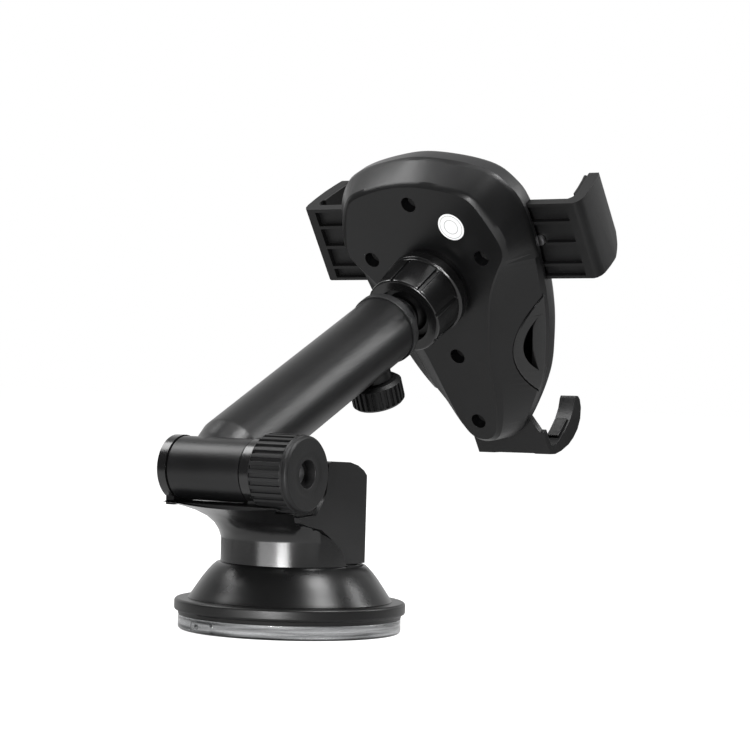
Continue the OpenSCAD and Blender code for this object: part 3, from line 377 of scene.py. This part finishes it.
# Ways of working
def only(piece):
    """Selects one piece alone and makes it the active one."""
    for other in bpy.context.selected_objects:
        other.select_set(False)
    bpy.context.view_layer.objects.active = piece
    piece.select_set(True)


def select_faces(piece, wanted):
    """In edit mode, selects the faces for which wanted(centre, normal) holds, in mm."""
    bpy.ops.mesh.select_mode(type="FACE")
    bpy.ops.mesh.select_all(action="DESELECT")
    mesh = bmesh.from_edit_mesh(piece.data)
    for face in mesh.faces:
        face.select = bool(wanted(face.calc_center_median() / MM, face.normal))
    mesh.select_flush(True)
    bmesh.update_edit_mesh(piece.data)


def select_corners(piece, wanted):
    """In edit mode, selects the corners for which wanted(place) holds, in mm."""
    bpy.ops.mesh.select_mode(type="VERT")
    bpy.ops.mesh.select_all(action="DESELECT")
    mesh = bmesh.from_edit_mesh(piece.data)
    for corner in mesh.verts:
        corner.select = bool(wanted(corner.co / MM))
    mesh.select_flush(True)
    bmesh.update_edit_mesh(piece.data)


def turned(name, profile, sides, ring=False):
    """A round piece about Z: a circle extruded and resized step by step, by (radius, height) in mm."""
    same_place = 0.002 * MM
    only(floor)
    bpy.ops.object.select_all(action="DESELECT")
    radius, height = profile[0]
    bpy.ops.mesh.primitive_circle_add(vertices=sides, radius=radius * MM, location=(0, 0, height * MM),
                                      fill_type="NOTHING" if ring else "NGON")
    piece = bpy.context.object
    piece.name = name
    bpy.ops.object.transform_apply(location=True, rotation=True, scale=True)
    bpy.ops.object.mode_set(mode="EDIT")
    bpy.ops.mesh.select_mode(type="VERT")
    bpy.ops.mesh.select_all(action="SELECT")
    for next_radius, next_height in profile[1:]:
        lift = (0, 0, (next_height - height) * MM)
        bpy.ops.mesh.extrude_region_move(TRANSFORM_OT_translate={"value": lift})
        share = next_radius / radius
        bpy.ops.transform.resize(value=(share, share, 1), center_override=(0, 0, next_height * MM))
        radius, height = next_radius, next_height
    bpy.ops.mesh.select_all(action="SELECT")
    bpy.ops.mesh.remove_doubles(threshold=same_place)
    bpy.ops.mesh.normals_make_consistent(inside=False)
    bpy.ops.object.mode_set(mode="OBJECT")
    return piece


def grooved(piece, count, low, high, depth, part, first=0):
    """Sinks count grooves between the heights low and high of a round piece, each a part of its pitch."""
    outward_enough = 0.6

    def in_groove(centre, normal):
        outward = Vector((centre.x, centre.y, 0)).normalized()
        turn = (atan2(centre.y, centre.x) / (2 * pi) * count + first) % 1
        return low < centre.z < high and normal.dot(outward) > outward_enough and turn < part
    only(piece)
    bpy.ops.object.mode_set(mode="EDIT")
    select_faces(piece, in_groove)
    bpy.ops.mesh.extrude_region_shrink_fatten(TRANSFORM_OT_shrink_fatten={"value": -depth * MM})
    bpy.ops.object.mode_set(mode="OBJECT")


def rounded(piece, width, limit, steps, smooth=32):
    """Rounds edges sharper than the limit in so many steps, and shades the curved faces smooth."""
    only(piece)
    edge = piece.modifiers.new("rounded edges", "BEVEL")
    edge.limit_method = "ANGLE"
    edge.angle_limit = radians(limit)
    edge.width = width * MM
    edge.segments = steps
    edge.use_clamp_overlap = True
    bpy.ops.object.modifier_apply(modifier=edge.name)
    bpy.ops.object.shade_smooth_by_angle(angle=radians(smooth))
    even = piece.modifiers.new("even shading", "WEIGHTED_NORMAL")
    even.keep_sharp = True
    bpy.ops.object.modifier_apply(modifier=even.name)


def set_in(piece, node, place=None):
    """Puts a finished piece in its node's place, body and finish."""
    if place is not None:
        only(piece)
        piece.matrix_world = place
        bpy.ops.object.transform_apply(location=True, rotation=True, scale=True)
    piece.data.materials.clear()
    piece.data.materials.append(finish_of[node])
    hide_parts(node)
    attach(piece, body_of[node])


def softened(node, width, limit, steps, smooth=32, shape=None):
    """A copy of a solid with its sharp edges rounded off and its curved faces shaded smooth."""
    same_place, nearly_flat = 0.004 * MM, radians(0.6)
    source = frame["nodes"][node]
    piece = source.copy()
    piece.data = source.data.copy()
    piece.name = node + "_dressed"
    scene.collection.objects.link(piece)
    piece.parent = None
    piece.matrix_world = Matrix.Identity(4)
    only(piece)
    bpy.ops.object.mode_set(mode="EDIT")
    bpy.ops.mesh.select_all(action="SELECT")
    bpy.ops.mesh.remove_doubles(threshold=same_place)
    bpy.ops.mesh.dissolve_limited(angle_limit=nearly_flat)
    if shape:
        shape(piece)
    bpy.ops.object.mode_set(mode="OBJECT")
    rounded(piece, width, limit, steps, smooth)
    set_in(piece, node)


# Round pieces, each turned about its axis
def knurled_knob():
    """Pivot knob: ribs round the grip, a plain band, and a dished face with a socket for the bolt."""
    rib_r, band_r, face, socket_r, ribs = 11.9, 11.6, 14.7, 4.3, 30
    knob = turned("knob", [
        (3.1, 0.3), (rib_r - 0.7, 0.3), (rib_r, 1), (rib_r, 12.2), (11.35, 12.6), (band_r, 13.1),
        (band_r, face - 0.7), (10.9, face), (7.4, face), (6.8, 14.45), (5.2, 14.45), (4.5, 14.6),
        (socket_r, 14.4), (socket_r, 11.2), (3.05, 11.2), (3.05, 10.9)], 4 * ribs)
    grooved(knob, ribs, low=0.9, high=12.3, depth=0.75, part=0.5)
    rounded(knob, width=0.14, limit=40, steps=2)
    set_in(knob, "pivot_knob", along_y(knob_face_y))


def ribbed_thumbscrew():
    """Head of the lock thumbscrew, with ribs and a shallow dish."""
    stem_r, head_r, ribs = 2.5, 8.9, 26
    thumbscrew = turned("thumbscrew", [
        (stem_r, 11.5), (stem_r, 13.4), (7.6, 13.4), (head_r, 14.5), (head_r, 20.9), (8, 21.8), (5.4, 21.8),
        (4.8, 21.3), (0.05, 21.2)], 4 * ribs)
    grooved(thumbscrew, ribs, low=14.4, high=21, depth=0.7, part=0.5)
    rounded(thumbscrew, width=0.15, limit=40, steps=2)
    set_in(thumbscrew, "lock_thumbscrew", along_arm(screw_at) @ Matrix.Rotation(pi / 2, 4, "Y"))


def lobed_nut():
    """Locking nut: a hollow skirt with eight narrow grooves, a fine line, and a flange on the cradle."""
    mouth_r, bore_r, flange_r, lobes = 9.9, 11.7, 14.9, 8
    nut = turned("nut", [
        (mouth_r, -6.8), (12.9, -6.8), (13.6, -6.5), (13.9, -5.8), (14.05, -1.5), (14.25, 1.6), (14.5, 5.4),
        (14.55, 6.6), (14.1, 6.9), (14.1, 7.5), (flange_r, 7.9), (flange_r, 11.4), (flange_r - 0.6, 12),
        (bore_r, 12), (bore_r, -0.6), (mouth_r, -0.6), (mouth_r, -6.8)], 16 * lobes, ring=True)
    grooved(nut, lobes, low=-6.6, high=6.5, depth=1.1, part=0.13, first=0.06)
    rounded(nut, width=0.25, limit=35, steps=3)
    set_in(nut, "locking_nut", at_ball())


def tube_collar():
    """Collar on the end of the outer tube."""
    bore_r, collar_r, length = 9.1, 12.2, 3.6
    collar = turned("collar", [
        (bore_r, 0), (collar_r, 0), (collar_r, 2.7), (collar_r - 0.3, 3.3), (11.3, length), (9.6, length),
        (bore_r, 3.2), (bore_r, 0)], 96, ring=True)
    rounded(collar, width=0.15, limit=30, steps=2)
    set_in(collar, "end_collar", along_arm(tube_end))


def stepped_ball():
    """Ball on its stepped stem."""
    slopes = (42, 50, 60, 70, 80, 90, 100, 110, 120, 130, 140, 150, 160, 170, 179)
    ball = [(ball_r * sin(radians(slope)), ball_at - ball_r * cos(radians(slope))) for slope in slopes]
    stem = turned("ball_on_stem", [
        (3.9, neck_of_ball), (3.9, 113), (7.4, 113.02), (7.3, 114.2), (6.6, 114.6), (6.5, 116.6), (7, 117),
        (6.9, 118.2), (6, 118.6), (5.6, 119.6)] + ball, 96)
    rounded(stem, width=0.15, limit=35, steps=2)
    set_in(stem, "ball_stem", along_arm(0))


# Shapes that the neck and the lever get before their edges are rounded, in mm
cheek_y = -15


def raised_arc(piece):
    """Lifts the arc where the lever's cheek meets the round neck: x, height and lift of its points."""
    reach, strips, margin = 1, 6, 0.01
    arc = ((-20.5, 34, 0.2), (-17, 32.6, 1.1), (-13.6, 31.2, 1.9), (-8.2, 28.1, 2), (-4.2, 24.8, 1.6),
           (-1.8, 21.7, 0))
    for (one_x, one_z, one_lift), (other_x, other_z, other_lift) in zip(arc, arc[1:]):
        for strip in range(strips):
            start = one_x + (other_x - one_x) * strip / strips
            end = one_x + (other_x - one_x) * (strip + 1) / strips
            height = one_z + (other_z - one_z) * (strip + 0.5) / strips
            select_corners(piece, lambda place: place.y < cheek_y and abs(place.z - height) < reach
                           and start - margin <= place.x < end - margin)
            lift = one_lift + (other_lift - one_lift) * strip / strips
            bpy.ops.transform.translate(value=(0, 0, lift * MM))


def close_to_knob(piece):
    """The lever's cheek reaches behind the knob, and its lower edge follows the neck's arc."""
    knob_axis = Vector((pivot_x, 0, pivot_z))
    inner_r, outer_r, lowest, closer = 18, 22, 38, 0.88

    def beside_knob(place):
        away = Vector((place.x, 0, place.z)) - knob_axis
        return place.y < cheek_y and place.z > lowest and inner_r < away.length < outer_r
    select_corners(piece, beside_knob)
    bpy.ops.transform.resize(value=(closer, 1, closer), center_override=knob_axis * MM)
    raised_arc(piece)


def close_to_barrel(piece):
    """The saddle's floor comes up to the barrel, and the neck's arc follows the lever."""
    under, over, left_ear, right_ear, lift = 40, 40.2, -9.9, 22.5, 0.57
    select_corners(piece, lambda place: under < place.z < over and left_ear < place.y < right_ear)
    bpy.ops.transform.translate(value=(0, 0, lift * MM))
    raised_arc(piece)


knurled_knob()
ribbed_thumbscrew()
lobed_nut()
tube_collar()
stepped_ball()

# Copies of the solids: width of the rounding in mm, its least angle, steps, and angle of smooth shading
for node, *rounding in (
        ("gel_pad", 0.4, 35, 3), ("suction_skirt", 0.35, 35, 3), ("base_dome", 0.35, 35, 3),
        ("neck_housing", 0.5, 35, 3, 32, close_to_barrel), ("lock_lever", 0.6, 40, 3, 32, close_to_knob),
        ("bolt_nut", 0.2, 35, 2), ("outer_tube", 0.4, 35, 3), ("inner_rod", 0.2, 35, 2),
        ("back_cover", 0.45, 20, 3, 15), ("front_cover", 0.35, 20, 2, 18), ("front_pad", 0.4, 25, 2),
        ("left_arm", 0.3, 30, 3), ("right_arm", 0.3, 30, 3),
        ("left_finger_pad", 0.3, 30, 2), ("right_finger_pad", 0.3, 30, 2),
        ("left_release", 0.3, 30, 2), ("right_release", 0.3, 30, 2),
        ("foot", 0.5, 30, 3), ("foot_pads", 0.3, 30, 2), ("cover_screws", 0.15, 30, 2),
        ("plain_disc", 0.05, 30, 2), ("barrel_washers", 0.05, 30, 2)):
    softened(node, *rounding)
